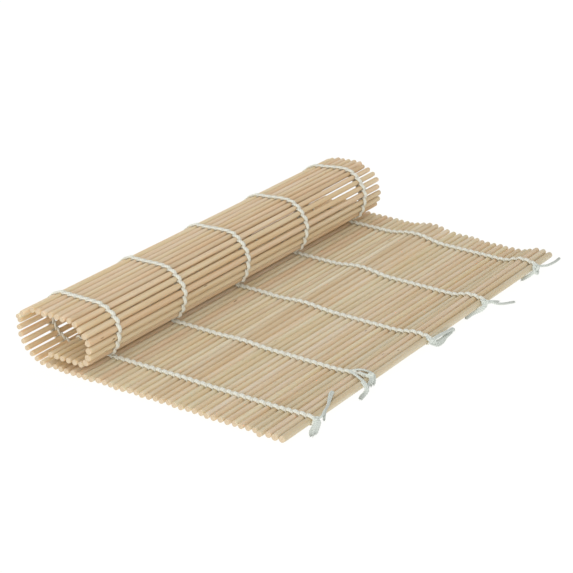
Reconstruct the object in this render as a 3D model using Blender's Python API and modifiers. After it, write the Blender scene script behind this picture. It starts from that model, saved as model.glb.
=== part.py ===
"""A bamboo sushi rolling mat, partly rolled.

Round bamboo sticks lie side by side and are held by five twined cotton cords. The first sticks lie
flat on the table. The mat then turns up and over, and its inner end comes to rest on its own flat part.

X runs across the sticks, Y along them and +Z up, in metres. Stick 1 is at the knotted edge (+X), and
the last one is the inner end of the roll. The origin is on the table, under the middle cord.
"""
import math
import random

import bmesh
import bpy
from mathutils import Matrix, Vector

MM = 0.001

# Sticks
STICK_LENGTH = 240 * MM
STICK_DIAMETER = 2.8 * MM
STICK_SIDES = 8
PITCH = 3.44 * MM
FLAT_STICKS = 37
REST_STICK = 27
NEAR_Y = -118 * MM
FAR_Y = NEAR_Y + STICK_LENGTH
END_JITTER = 0.5 * MM
JITTER_SEED = 7

# Cords
CORD_LINES = (-97.5 * MM, -51.3 * MM, 0.0, 51.7 * MM, 104.5 * MM)
CORD_THICKNESS = 0.56 * MM
CORD_WIDTH = 1.5 * MM
CLEARANCE = 0.4 * MM
STITCH_DIP = 0.1 * MM
BEAD = 1.0
NECK = 0.7
PLAIN = 0.85
WRAP_RADIUS = 2.18 * MM
WRAP_ANGLES = (22.5, 67.5, 112.5, 157.5)
BRIDGE_WIDTH = 1.2 * MM
BRIDGE_HEIGHT = 0.8 * MM
TAIL_STEPS = 3

# The octagon has the area of the round stick, so a flat side stands FLAT_SIDE from its centre.
STICK_CORNER = STICK_DIAMETER / 2 * math.sqrt(math.pi / (2 * math.sqrt(2)))
FLAT_SIDE = STICK_CORNER * math.cos(math.pi / STICK_SIDES)
CORD_OFFSET = FLAT_SIDE + CLEARANCE + CORD_THICKNESS / 2
STICK_HEIGHT = CORD_OFFSET + CORD_THICKNESS / 2

# How the roll turns from stick to stick, in degrees, at the two ends of the sticks.
ROLL_TURNS = (
    # sticks, near end, far end
    (3, 8.0, 8.4),
    (5, 14.3, 16.3),
    (4, 21.1, 15.7),
    (5, 0.1, 2.7),
    (4, 14.8, 14.4),
    (3, 20.1, 18.0),
    (2, 30.3, 30.9),
    (4, -0.1, 0.4),
)
ROLLED_STICKS = sum(sticks for sticks, near, far in ROLL_TURNS)
STICKS = FLAT_STICKS + ROLLED_STICKS

# Waves that lift the far ends of the flat sticks.
WAVES = (
    # middle stick, half width in sticks, height
    (20.5, 4.5, 2.4 * MM),
    (2.7, 2.8, 3.1 * MM),
    (1, 1, 0.7 * MM),
)

# How far the sticks were left longer than the layout, in millimetres.
END_EXTRAS = (
    # first stick, last stick, near end, far end
    (1, 2, 0.9, 1.5),
    (3, 3, 0.6, 0.6),
    (4, 4, 2.8, 0.2),
    (5, 6, 0.9, 1.6),
    (7, 12, 0.9, 0.7),
    (13, 17, 0.9, 2.0),
    (18, 21, 0.9, 1.1),
    (22, 24, 0.9, 0.0),
    (25, 32, 1.2, 1.6),
    (33, 43, 1.2, 2.0),
    (44, 45, 1.2, 2.8),
    (46, 47, 3.4, 3.3),
    (48, 50, 0.9, 2.6),
    (51, 53, 0.9, 2.5),
    (54, 57, 0.9, -0.3),
    (58, 61, 0.6, -1.8),
    (62, 67, 0.6, 0.0),
)

# How far each cord wanders from its line towards +Y, in millimetres. The roll leans a little.
DRIFTS = (
    # stick, cord 1, cord 2, cord 3, cord 4, cord 5
    (1, 0.0, 0.0, 0.0, 0.0, 0.0),
    (22, 0.0, 0.0, 0.0, 0.0, 0.0),
    (29, 0.0, 0.5, 1.1, 0.2, 0.0),
    (38, -0.2, 1.0, 1.4, 0.6, 0.8),
    (47, -0.8, 3.6, 3.6, 2.3, 3.4),
    (50, -1.2, 2.4, 2.4, 1.6, 2.6),
    (53, -1.1, 3.0, 3.4, 3.0, 4.4),
    (57, -0.6, 1.6, 1.1, 0.2, 1.4),
    (60, -2.8, -0.6, -1.4, -3.0, -1.4),
    (67, -0.6, 0.0, -0.4, -0.8, -0.4),
)

# Knots and loose ends of the cords. Places are in millimetres: out from the edge stick, along it from
# the cord's line, and up from the table. The far end of the edge stick is lifted, and the loose ends
# of cords 4 and 5 run under it.
KNOTS = (
    # cord, radius, place
    (1, 1.4, (3.8, -1.5, 4.2)),
    (2, 1.1, (1.0, 1.0, 5.6)),
    (3, 1.35, (3.9, -1.5, 4.1)),
    (4, 1.25, (3.1, -1.8, 4.9)),
    (5, 1.25, (3.3, -2.4, 5.0)),
)
TAILS = (
    # cord, diameter, route
    (1, 1.3, ((-1.0, 0.0, 4.9), (1.6, -0.6, 4.9), (3.8, -1.5, 4.4))),
    (1, 2.0, ((4.0, -1.5, 4.1), (5.4, -3.3, 3.6), (6.2, -5.4, 2.6), (6.7, -7.2, 1.7), (7.1, -8.7, 1.15))),
    (1, 1.1, ((3.9, -1.2, 4.5), (5.0, 1.5, 4.8), (2.9, 6.8, 5.0), (1.3, 11.5, 5.1), (-0.9, 16.0, 5.2),
              (-3.0, 20.0, 5.2), (-3.9, 23.2, 5.2))),
    (1, 1.1, ((-3.6, 22.4, 5.2), (-1.9, 21.4, 5.3), (0.2, 17.8, 5.3), (2.3, 12.5, 5.1), (4.3, 6.8, 4.8),
              (5.8, 3.0, 3.7))),
    (2, 1.1, ((-7.4, 0.2, 5.6), (-6.0, 2.6, 5.8), (-4.0, 3.7, 5.8), (-1.2, 3.6, 5.7), (1.0, 3.0, 5.4),
              (2.7, 1.4, 4.6), (3.7, -0.6, 2.9))),
    (2, 1.2, ((-6.9, -0.2, 5.6), (-5.0, -2.0, 5.8), (-2.5, -3.4, 5.8), (1.2, -5.6, 5.3), (3.6, -6.9, 4.1),
              (4.8, -7.7, 2.7), (4.9, -9.4, 1.5), (4.8, -11.2, 0.9), (5.1, -13.2, 0.75))),
    (2, 1.0, ((-1.0, -0.6, 5.4), (0.8, -0.4, 5.3), (2.3, -1.0, 4.7), (3.2, -3.0, 4.2), (3.9, -6.6, 3.9))),
    (3, 1.2, ((-0.4, 0.0, 5.55), (1.9, -1.4, 5.3), (3.8, -1.6, 4.5))),
    (3, 1.4, ((3.4, -1.6, 4.5), (4.0, 1.5, 4.5), (3.9, 6.0, 4.3), (4.2, 11.0, 4.0), (4.1, 15.3, 3.6),
              (3.9, 18.3, 3.0))),
    (3, 1.1, ((4.0, 17.8, 3.0), (4.5, 16.0, 2.2), (4.6, 13.0, 1.9), (4.9, 9.6, 1.5), (5.6, 5.6, 1.2),
              (5.8, 2.2, 1.3), (5.0, -0.4, 2.1), (4.2, -1.6, 3.4))),
    (4, 1.2, ((-0.4, 0.0, 5.95), (1.6, -1.8, 5.75), (3.1, -1.9, 5.1))),
    (4, 1.1, ((3.4, -1.6, 4.9), (4.8, 0.8, 4.6), (6.0, 3.4, 3.6), (7.3, 7.3, 2.4), (8.3, 11.3, 1.4),
              (9.6, 15.6, 0.7))),
    (4, 1.2, ((3.4, -1.8, 4.6), (4.5, -3.8, 3.4), (4.2, -5.8, 2.2), (3.2, -7.0, 1.3), (1.6, -7.6, 0.9),
              (0.5, -9.4, 0.75), (0.3, -12.0, 0.7), (0.0, -14.8, 0.7))),
    (5, 1.2, ((-0.4, 0.0, 6.4), (1.7, -1.2, 6.2), (3.3, -2.3, 5.4))),
    (5, 1.2, ((3.4, -2.2, 4.9), (3.9, 2.8, 4.3), (4.3, 7.2, 3.4), (3.8, 13.6, 2.3), (3.2, 19.3, 1.4),
              (2.3, 25.2, 0.75))),
    (5, 1.2, ((3.0, -2.2, 5.1), (3.7, -4.6, 4.3), (4.9, -4.7, 3.1), (4.8, -3.0, 3.2), (3.8, -2.2, 4.3))),
    (5, 1.1, ((3.6, -4.0, 4.1), (3.1, -5.4, 3.0), (2.1, -6.8, 1.6), (1.2, -8.6, 1.0), (0.2, -11.3, 0.75))),
)


def wave_height(stick):
    """Lift of a flat stick's far end."""
    height = 0.0
    for middle, half_width, crest in WAVES:
        away = (stick - middle) / half_width
        if abs(away) < 1:
            height += crest * (1 - away * away) ** 2
    return height


def section(far):
    """Stick centres in the plane of the near or the far end, from the knotted edge to the inner end."""
    centres = []
    for stick in range(1, FLAT_STICKS + 1):
        lift = wave_height(stick) if far else 0.0
        centres.append(Vector(((REST_STICK - stick) * PITCH, 0, STICK_HEIGHT + lift)))
    heading = math.pi
    for sticks, near_turn, far_turn in ROLL_TURNS:
        for _ in range(sticks):
            heading -= math.radians(far_turn if far else near_turn)
            centres.append(centres[-1] + PITCH * Vector((math.cos(heading), 0, math.sin(heading))))
    return centres


NEAR_SECTION = section(far=False)
FAR_SECTION = section(far=True)


def centre(stick, y):
    """Centre of a stick where it crosses the plane at y."""
    along = (y - NEAR_Y) / STICK_LENGTH
    point = NEAR_SECTION[stick - 1].lerp(FAR_SECTION[stick - 1], along)
    return Vector((point.x, y, point.z))


def mat_direction(stick, y):
    """Unit vector along the mat at a stick, away from the knotted edge."""
    before = centre(max(stick - 1, 1), y)
    after = centre(min(stick + 1, STICKS), y)
    return (after - before).normalized()


def upper_side(stick, y):
    """Unit vector out of the mat's upper face at a stick. In the roll it points inward."""
    along = mat_direction(stick, y)
    return Vector((along.z, 0, -along.x))


def end_extras(stick):
    """How much longer than the layout a stick is, at its near and its far end."""
    for first, last, near, far in END_EXTRAS:
        if first <= stick <= last:
            return near * MM, far * MM


def cord_place(number, stick):
    """Where a cord crosses a stick, along Y."""
    for before, after in zip(DRIFTS, DRIFTS[1:]):
        if before[0] <= stick <= after[0]:
            share = (stick - before[0]) / (after[0] - before[0])
            eased = share * share * (3 - 2 * share)
            drift = before[number] + (after[number] - before[number]) * eased
            return CORD_LINES[number - 1] + drift * MM


def material(name, colour, roughness):
    made = bpy.data.materials.new(name)
    made.use_nodes = True
    shader = made.node_tree.nodes["Principled BSDF"]
    shader.inputs["Base Color"].default_value = (*colour, 1)
    shader.inputs["Roughness"].default_value = roughness
    shader.inputs["Metallic"].default_value = 0
    return made


def guide(obj):
    """Marks an object that only shapes another one."""
    obj.hide_render = True
    obj.display_type = "WIRE"
    GUIDES.objects.link(obj)
    return obj


def fuse(obj, other):
    union = obj.modifiers.new("Fuse", "BOOLEAN")
    union.operation = "UNION"
    union.solver = "EXACT"
    union.object = other


def strap(name, rows, thickness, closed=False):
    """Object of a flat strap through (point, width) rows. Its width always lies along Y."""
    work = bmesh.new()
    pairs = []
    for point, width in rows:
        half = Vector((0, width / 2, 0))
        pairs.append((work.verts.new(point - half), work.verts.new(point + half)))
    for (a, b), (c, d) in zip(pairs, pairs[1:] + (pairs[:1] if closed else [])):
        work.faces.new((a, b, d, c))
    mesh = bpy.data.meshes.new(name)
    work.to_mesh(mesh)
    work.free()
    made = bpy.data.objects.new(name, mesh)
    solid = made.modifiers.new("Thickness", "SOLIDIFY")
    solid.thickness = thickness
    solid.offset = 0
    solid.use_even_offset = True
    return made


def swept(name, points, diameter):
    """Mesh object of a square strand along points, closed at its ends."""
    curve = bpy.data.curves.new(name, "CURVE")
    curve.dimensions = "3D"
    curve.use_fill_caps = True
    curve.bevel_depth = diameter / 2
    curve.bevel_resolution = 0
    spline = curve.splines.new("POLY")
    spline.points.add(len(points) - 1)
    for target, point in zip(spline.points, points):
        target.co = (*point, 1)
    sweep = bpy.data.objects.new(name, curve)
    bpy.context.scene.collection.objects.link(sweep)
    evaluated = sweep.evaluated_get(bpy.context.evaluated_depsgraph_get())
    mesh = bpy.data.meshes.new_from_object(evaluated)
    bpy.data.objects.remove(sweep)
    work = bmesh.new()
    work.from_mesh(mesh)
    bmesh.ops.remove_doubles(work, verts=work.verts, dist=0.00001)
    bmesh.ops.recalc_face_normals(work, faces=work.faces)
    work.to_mesh(mesh)
    work.free()
    return bpy.data.objects.new(name, mesh)


def smooth_route(points, steps):
    """Points along a smooth curve that passes through all the given ones."""
    ends = [2 * points[0] - points[1], *points, 2 * points[-1] - points[-2]]
    route = []
    for p0, p1, p2, p3 in zip(ends, ends[1:], ends[2:], ends[3:]):
        for step in range(steps):
            t = step / steps
            route.append(0.5 * (2 * p1 + (p2 - p0) * t + (2 * p0 - 5 * p1 + 4 * p2 - p3) * t ** 2
                                + (3 * p1 - p0 - 3 * p2 + p3) * t ** 3))
    route.append(points[-1])
    return route


def stick_placing(stick, near_extra, far_extra):
    """Length of a stick and the matrix that lays it in the mat, a flat side towards each cord."""
    near = centre(stick, NEAR_Y - near_extra)
    far = centre(stick, FAR_Y + far_extra)
    axis = (far - near).normalized()
    side = upper_side(stick, 0.0).cross(axis).normalized()
    up = axis.cross(side)
    turned = Matrix((side, up, axis)).transposed().to_4x4()
    return (far - near).length, Matrix.Translation((near + far) / 2) @ turned


def octagon_rod(work, length, placing):
    """Adds one stick to a bmesh, with flat sides square to its own X and Y."""
    half_side = Matrix.Rotation(math.pi / STICK_SIDES, 4, "Z")
    bmesh.ops.create_cone(work, cap_ends=True, segments=STICK_SIDES, radius1=STICK_CORNER,
                          radius2=STICK_CORNER, depth=length, matrix=placing @ half_side)


def mesh_object(name, work, finish):
    mesh = bpy.data.meshes.new(name)
    work.to_mesh(mesh)
    work.free()
    mesh.materials.append(finish)
    obj = bpy.data.objects.new(name, mesh)
    MAT.objects.link(obj)
    return obj


def make_sticks(finish):
    """The flat sticks as one solid, and each rolled stick as its own."""
    draw = random.Random(JITTER_SEED)
    flat = bmesh.new()
    for stick in range(1, STICKS + 1):
        near_extra, far_extra = (extra + draw.uniform(-END_JITTER, END_JITTER) for extra in end_extras(stick))
        length, placing = stick_placing(stick, near_extra, far_extra)
        if stick <= FLAT_STICKS:
            octagon_rod(flat, length, placing)
        else:
            rod = bmesh.new()
            octagon_rod(rod, length, Matrix.Identity(4))
            rolled = mesh_object(f"stick_{stick}", rod, finish)
            rolled.matrix_world = placing
    return mesh_object("flat_sticks", flat, finish)


def bridge_flat_sticks(flat):
    """Joins the flat sticks through the middle, where the middle cord's strands cross between them."""
    rows = [(centre(stick, CORD_LINES[2]), BRIDGE_WIDTH) for stick in range(1, FLAT_STICKS + 1)]
    fuse(flat, guide(strap("bridge", rows, BRIDGE_HEIGHT)))


def wrap_points(stick, y, outward):
    """Points of a cord round an end stick, from its upper side to its lower one."""
    up = upper_side(stick, y)
    angles = [math.radians(angle) for angle in WRAP_ANGLES]
    return [centre(stick, y) + WRAP_RADIUS * (math.cos(angle) * up + math.sin(angle) * outward)
            for angle in angles]


def between(number, stick, height):
    """Point of a cord over the gap after a stick, at a height over the line of the centres."""
    y = cord_place(number, stick)
    next_y = cord_place(number, stick + 1)
    middle = (centre(stick, y) + centre(stick + 1, next_y)) / 2
    up = (upper_side(stick, y) + upper_side(stick + 1, next_y)).normalized()
    return middle + up * height


def cord_route(number):
    """Closed route of one cord as (point, width factor): over the mat, round its end and back under."""
    places = {stick: cord_place(number, stick) for stick in range(1, STICKS + 1)}
    route = []
    for stick, y in places.items():
        shown = stick <= FLAT_STICKS
        route.append((centre(stick, y) + upper_side(stick, y) * CORD_OFFSET, BEAD if shown else PLAIN))
        if stick < FLAT_STICKS:
            route.append((between(number, stick, CORD_OFFSET - STITCH_DIP), NECK))
    inner_end = mat_direction(STICKS, places[STICKS])
    route += [(point, PLAIN) for point in wrap_points(STICKS, places[STICKS], inner_end)]
    for stick in range(STICKS, FLAT_STICKS, -1):
        if stick < STICKS:
            route.append((between(number, stick, STITCH_DIP - CORD_OFFSET), NECK))
        route.append((centre(stick, places[stick]) - upper_side(stick, places[stick]) * CORD_OFFSET, BEAD))
    for stick in range(FLAT_STICKS, 0, -1):
        y = places[stick]
        ends = centre(max(stick - 1, 1), y) + centre(min(stick + 1, STICKS), y)
        in_line = abs(ends.z / 2 - centre(stick, y).z) < CORD_THICKNESS / 100
        if stick in (1, FLAT_STICKS) or not in_line or abs(y - CORD_LINES[number - 1]) > CLEARANCE / 10:
            route.append((centre(stick, y) - upper_side(stick, y) * CORD_OFFSET, BEAD))
    edge = -mat_direction(1, places[1])
    route += [(point, BEAD) for point in reversed(wrap_points(1, places[1], edge))]
    return route


def knot_blob(name, radius, place):
    work = bmesh.new()
    bmesh.ops.create_icosphere(work, subdivisions=1, radius=radius, matrix=Matrix.Translation(place))
    mesh = bpy.data.meshes.new(name)
    work.to_mesh(mesh)
    work.free()
    return guide(bpy.data.objects.new(name, mesh))


def make_cord(number, finish):
    """One cord with its knot at the edge stick and the loose ends that hang from it."""
    rows = [(point, factor * CORD_WIDTH) for point, factor in cord_route(number)]
    cord = strap(f"cord_{number}", rows, CORD_THICKNESS, closed=True)
    cord.data.materials.append(finish)
    MAT.objects.link(cord)
    edge = centre(1, CORD_LINES[number - 1])
    start = Vector((edge.x, edge.y, 0))
    for owner, radius, place in KNOTS:
        if owner == number:
            fuse(cord, knot_blob(f"knot_{number}_shape", radius * MM, start + MM * Vector(place)))
    tails = [(diameter, route) for owner, diameter, route in TAILS if owner == number]
    for count, (diameter, route) in enumerate(tails, 1):
        points = smooth_route([start + MM * Vector(point) for point in route], TAIL_STEPS)
        tail = swept(f"tail_{number}_{count}_shape", points, diameter * MM)
        fuse(cord, guide(tail))


for old in list(bpy.data.objects):
    bpy.data.objects.remove(old)
MAT = bpy.data.collections.new("sushi_rolling_mat")
GUIDES = bpy.data.collections.new("guides")
bpy.context.scene.collection.children.link(MAT)
bpy.context.scene.collection.children.link(GUIDES)

bamboo = material("bamboo", (0.60, 0.44, 0.26), 0.55)
cotton = material("cotton_twine", (0.64, 0.68, 0.58), 0.9)
flat_sticks = make_sticks(bamboo)
bridge_flat_sticks(flat_sticks)
for cord_number in range(1, len(CORD_LINES) + 1):
    make_cord(cord_number, cotton)
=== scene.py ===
# %% [markdown]
# A bamboo sushi mat, partly rolled
#
# A makisu is a row of thin round bamboo sticks tied side by side with lines of cotton twine. The
# plain solids of the mat are loaded first, because everything made below has to lie where they lie.

# %% Load the frame
import math
import random

import bpy
import numpy as np
from mathutils import Matrix, Vector, noise


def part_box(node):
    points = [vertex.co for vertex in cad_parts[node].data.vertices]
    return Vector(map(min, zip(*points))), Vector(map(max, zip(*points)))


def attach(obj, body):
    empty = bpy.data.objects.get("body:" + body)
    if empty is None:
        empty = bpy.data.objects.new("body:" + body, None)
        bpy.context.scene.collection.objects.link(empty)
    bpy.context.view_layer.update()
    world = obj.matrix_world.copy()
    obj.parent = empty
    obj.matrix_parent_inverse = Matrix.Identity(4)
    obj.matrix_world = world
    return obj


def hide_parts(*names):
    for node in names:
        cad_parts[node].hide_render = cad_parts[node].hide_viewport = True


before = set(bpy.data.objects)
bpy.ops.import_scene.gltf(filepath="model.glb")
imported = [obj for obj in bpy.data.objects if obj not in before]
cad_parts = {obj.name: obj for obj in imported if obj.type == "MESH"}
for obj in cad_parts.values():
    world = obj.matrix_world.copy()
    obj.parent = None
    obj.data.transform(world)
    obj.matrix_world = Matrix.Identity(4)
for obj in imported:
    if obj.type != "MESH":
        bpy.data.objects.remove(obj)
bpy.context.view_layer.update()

MM = 0.001

# %% [markdown]
# How the mat lies
#
# Seen from its end, the mat is one line: 37 sticks flat on the table and 30 more that turn up and over
# into a loose roll. The line could be drawn as a curve and the sticks dropped on it, but then their
# spacing would change with every edit. Here each stick is one step of fixed length, the pitch of the
# tying, and a short table says how far the line turns at each step. The two ends of the sticks have
# a table column each, because the roll is a little wider at its far end.

# %% Sizes of the sticks and the turns of the roll
STICK_LENGTH = 240 * MM
PITCH = 3.44 * MM
FLAT_STICKS = 37
REST_STICK = 27
NEAR_Y = -118 * MM
FAR_Y = NEAR_Y + STICK_LENGTH
STICK_HEIGHT = 2.3232 * MM
ROLL_TURNS = (
    # sticks, degrees that the line turns at each: near end, far end
    (3, 8.0, 8.4),
    (5, 14.3, 16.3),
    (4, 21.1, 15.7),
    (5, 0.1, 2.7),
    (4, 14.8, 14.4),
    (3, 20.1, 18.0),
    (2, 30.3, 30.9),
    (4, -0.1, 0.4),
)
STICKS = FLAT_STICKS + sum(sticks for sticks, near, far in ROLL_TURNS)
WAVES = (
    # middle stick, half width in sticks, height
    (20.5, 4.5, 2.4 * MM),
    (2.7, 2.8, 3.1 * MM),
    (1, 1, 0.7 * MM),
)


def wave_height(stick):
    """Lift of a flat stick's far end."""
    height = 0.0
    for middle, half_width, crest in WAVES:
        away = (stick - middle) / half_width
        if abs(away) < 1:
            height += crest * (1 - away * away) ** 2
    return height


def section(far):
    """Stick centres at the near or the far end, from the knotted edge to the inner end of the roll."""
    centres = []
    for stick in range(1, FLAT_STICKS + 1):
        lift = wave_height(stick) if far else 0.0
        centres.append(Vector(((REST_STICK - stick) * PITCH, 0, STICK_HEIGHT + lift)))
    heading = math.pi
    for sticks, near_turn, far_turn in ROLL_TURNS:
        for _ in range(sticks):
            heading -= math.radians(far_turn if far else near_turn)
            centres.append(centres[-1] + PITCH * Vector((math.cos(heading), 0, math.sin(heading))))
    return centres


near_section = section(far=False)
far_section = section(far=True)
print("sticks:", STICKS, "roll height in mm:", round(max(p.z for p in near_section) / MM, 1))

# %% [markdown]
# Three small questions come up for every piece: where is a stick at a given place along its length,
# which way does the mat run there, and which way does its upper face look. In the roll that upper
# face looks inward. The last lines of the cell compare this layout with one of the solids.

# %% Places and directions on the mat
def centre(stick, y):
    """Centre of a stick where it crosses the plane at y."""
    along = (y - NEAR_Y) / STICK_LENGTH
    point = near_section[stick - 1].lerp(far_section[stick - 1], along)
    return Vector((point.x, y, point.z))


def mat_direction(stick, y):
    """Unit vector along the mat at a stick, away from the knotted edge."""
    before = centre(max(stick - 1, 1), y)
    after = centre(min(stick + 1, STICKS), y)
    return (after - before).normalized()


def upper_side(stick, y):
    """Unit vector out of the mat's upper face at a stick."""
    along = mat_direction(stick, y)
    return Vector((along.z, 0, -along.x))


CHECKED_STICK = 50
low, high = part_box(f"stick_{CHECKED_STICK}")
solid_middle = (Vector(low) + Vector(high)) / 2
own_middle = centre(CHECKED_STICK, solid_middle.y)
print("layout is off the solids by", round((own_middle - solid_middle).length / MM, 3), "mm")

# %% [markdown]
# The camera
#
# The view looks down on the near end of the roll from the right. The angles were found by matching the
# stick ends and the twine lines of the picture, so the camera is built from its three directions
# instead of being pointed at a target.

# %% Camera
CAMERA_PLACE = Vector((0.50466, -0.74789, 0.39210))
CAMERA_TURN = math.radians(33.34)
CAMERA_DOWN = math.radians(23.08)
CAMERA_ROLL = math.radians(0.86)
LENS = 129.1

looking = Vector((-math.sin(CAMERA_TURN) * math.cos(CAMERA_DOWN),
                  math.cos(CAMERA_TURN) * math.cos(CAMERA_DOWN),
                  -math.sin(CAMERA_DOWN)))
level_right = looking.cross(Vector((0, 0, 1))).normalized()
level_up = level_right.cross(looking)
view_right = math.cos(CAMERA_ROLL) * level_right + math.sin(CAMERA_ROLL) * level_up
view_up = math.cos(CAMERA_ROLL) * level_up - math.sin(CAMERA_ROLL) * level_right
camera_data = bpy.data.cameras.new("camera")
camera_data.sensor_width = 36
camera_data.lens = LENS
camera_data.clip_start = 0.01
camera = bpy.data.objects.new("camera", camera_data)
camera.matrix_world = (Matrix.Translation(CAMERA_PLACE)
                       @ Matrix((view_right, view_up, -looking)).transposed().to_4x4())
bpy.context.scene.collection.objects.link(camera)
bpy.context.scene.camera = camera
print("camera is", round(CAMERA_PLACE.length, 3), "m from the mat's origin")

# %% [markdown]
# One mesh from many tubes
#
# Sticks, twine and loose ends are all tubes: rings of points, one after the other. Making thousands of
# separate objects would be slow, so a heap collects the rings of many tubes and makes one mesh of them.
# It also keeps two marks at every point, which the finishes read later. The grain mark is the place on
# the unbent piece in millimetres, so a grain runs along each piece however it lies. The tint mark says
# which stick or yarn this is, and how light it is.

# %% Heap of tubes
class Heap:
    """Closed tubes that become one mesh."""

    def __init__(self):
        self.points = []
        self.faces = []
        self.slots = []
        self.grain = []
        self.tint = []

    def add_tube(self, rings, grain, tint, band_slots=None):
        """Joins rings (count, sides, 3) into a closed tube. tint is one colour, or one for each ring.
        band_slots names a finish for each band."""
        count, sides = rings.shape[:2]
        start = len(self.points)
        slots = band_slots or [0] * (count - 1)
        ring_tints = tint if isinstance(tint, list) else [tint] * count
        self.points.extend(rings.reshape(-1, 3).tolist())
        self.grain.extend(grain.reshape(-1, 3).tolist())
        self.tint.extend(ring_tint for ring_tint in ring_tints for _ in range(sides))
        for ring in range(count - 1):
            first = start + ring * sides
            for side in range(sides):
                a = first + side
                b = first + (side + 1) % sides
                self.faces.append((a, b, b + sides, a + sides))
            self.slots.extend([slots[ring]] * sides)
        for ring, slot in ((0, slots[0]), (count - 1, slots[-1])):
            hub = len(self.points)
            self.points.append(rings[ring].mean(axis=0).tolist())
            self.grain.append(grain[ring].mean(axis=0).tolist())
            first = start + ring * sides
            for side in range(sides):
                a = first + side
                b = first + (side + 1) % sides
                self.faces.append((hub, b, a) if ring == 0 else (hub, a, b))
            self.slots.extend([slot] * sides)
            self.tint.append(ring_tints[ring])

    def make(self, name, finishes, sharp_angle=40):
        """The mesh object of all tubes. Edges sharper than the angle, in degrees, stay sharp."""
        mesh = bpy.data.meshes.new(name)
        mesh.from_pydata(self.points, [], self.faces)
        grain = mesh.attributes.new("grain", "FLOAT_VECTOR", "POINT")
        grain.data.foreach_set("vector", np.array(self.grain, dtype=np.float32).ravel())
        tint = mesh.attributes.new("tint", "FLOAT_COLOR", "POINT")
        tint.data.foreach_set("color", np.array(self.tint, dtype=np.float32).ravel())
        for finish in finishes:
            mesh.materials.append(finish)
        mesh.polygons.foreach_set("material_index", self.slots)
        mesh.shade_smooth()
        mesh.set_sharp_from_angle(angle=math.radians(sharp_angle))
        made = bpy.data.objects.new(name, mesh)
        bpy.context.scene.collection.objects.link(made)
        triangles = sum(len(face) - 2 for face in self.faces)
        print(name, "has", triangles, "triangles")
        return made


# %% [markdown]
# Finishes
#
# A finish here is a chain of nodes that starts from the marks kept in the mesh. Three helpers keep the
# chains readable: one turns a colour read off a screen into the shader's own light values, one adds a
# node with its settings and its incoming links in a single call, and one starts a new finish.

# %% Helpers for finishes
def screen_colour(red, green, blue):
    """Shader colour of a screen colour with parts from 0 to 255."""
    parts = [part / 255 for part in (red, green, blue)]
    return (*[p / 12.92 if p <= 0.04045 else ((p + 0.055) / 1.055) ** 2.4 for p in parts], 1.0)


def add_node(tree, kind, links=None, **settings):
    """Adds a node. links gives its inputs, each a value or another node's output."""
    node = tree.nodes.new(kind)
    for name, value in settings.items():
        setattr(node, name, value)
    for name, value in (links or {}).items():
        if isinstance(value, bpy.types.NodeSocket):
            tree.links.new(value, node.inputs[name])
        else:
            node.inputs[name].default_value = value
    return node


def new_finish(name):
    """A material, its node tree and its shader node."""
    finish = bpy.data.materials.new(name)
    finish.use_nodes = True
    tree = finish.node_tree
    return finish, tree, tree.nodes["Principled BSDF"]


# %% [markdown]
# Three kinds of node come up again and again: a ramp that turns a number into a colour, a mix of two
# colours, and noise. Wood and yarn both have a direction, so the noise is scaled apart across the piece
# and along it. Small scales along the piece draw the pattern out into fibres.

# %% Ramps, mixes and noise along the piece
def add_ramp(tree, factor, stops):
    """Colour ramp with (place, colour) stops."""
    ramp = add_node(tree, "ShaderNodeValToRGB", {"Fac": factor})
    elements = ramp.color_ramp.elements
    while len(elements) < len(stops):
        elements.new(0.5)
    for element, (place, colour) in zip(elements, stops):
        element.position = place
        element.color = colour
    return ramp.outputs["Color"]


def add_mix(tree, factor, first, second, blend="MIX"):
    """Colour mixed from two. Every value may be a number or colour, or another node's output."""
    mix = add_node(tree, "ShaderNodeMix", data_type="RGBA", blend_type=blend)
    for socket, value in ((mix.inputs[0], factor), (mix.inputs[6], first), (mix.inputs[7], second)):
        if isinstance(value, bpy.types.NodeSocket):
            tree.links.new(value, socket)
        else:
            socket.default_value = value
    return mix.outputs[2]


def stretched_noise(tree, place, across, along, detail=3.0, roughness=0.55):
    """Noise with its own scale across and along the piece, per millimetre."""
    scaled = add_node(tree, "ShaderNodeVectorMath", {0: place, 1: (across, across, along)},
                      operation="MULTIPLY")
    made = add_node(tree, "ShaderNodeTexNoise",
                    {"Vector": scaled.outputs[0], "Scale": 1.0, "Detail": detail, "Roughness": roughness})
    return made.outputs["Fac"]


# %% [markdown]
# Split bamboo is straw coloured, and no two sticks match: some are cream, some pinkish, some greenish.
# Fine fibres run the whole length, with darker pores between them and now and then a brown fleck where
# a leaf bud was. A colour ramp that reads the stick's own tint gives the first, and noise that is
# stretched far along the stick gives the rest. The tint then makes whole groups of sticks lighter,
# darker or greener: partly their own tone, and partly painted shade beside, under and low on the roll
# and painted light inside it and on its top. Bamboo as thin as this lets a little light through, so the
# shader carries some of its light under the surface, and the narrow gaps between the sticks turn warm
# instead of black.

# %% Bamboo, along the grain
bamboo, tree, shader = new_finish("split_bamboo")
place = add_node(tree, "ShaderNodeAttribute", attribute_name="grain").outputs["Vector"]
tint = add_node(tree, "ShaderNodeAttribute", attribute_name="tint")
tint_parts = add_node(tree, "ShaderNodeSeparateColor", {"Color": tint.outputs["Color"]})
fibres = stretched_noise(tree, place, 4.5, 0.05, detail=4.0)
drift = stretched_noise(tree, place, 0.35, 0.018, detail=2.0)
flecks = stretched_noise(tree, place, 0.9, 0.16, detail=1.0)
pores = stretched_noise(tree, place, 9.0, 0.55, detail=2.0)
stick_colour = add_ramp(tree, tint_parts.outputs["Red"], (
    (0.0, screen_colour(234, 226, 198)),
    (0.35, screen_colour(234, 214, 187)),
    (0.65, screen_colour(230, 216, 183)),
    (1.0, screen_colour(228, 204, 174))))
drift_level = add_node(tree, "ShaderNodeMapRange", {"Value": drift, "From Min": 0.35, "From Max": 0.68})
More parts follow.
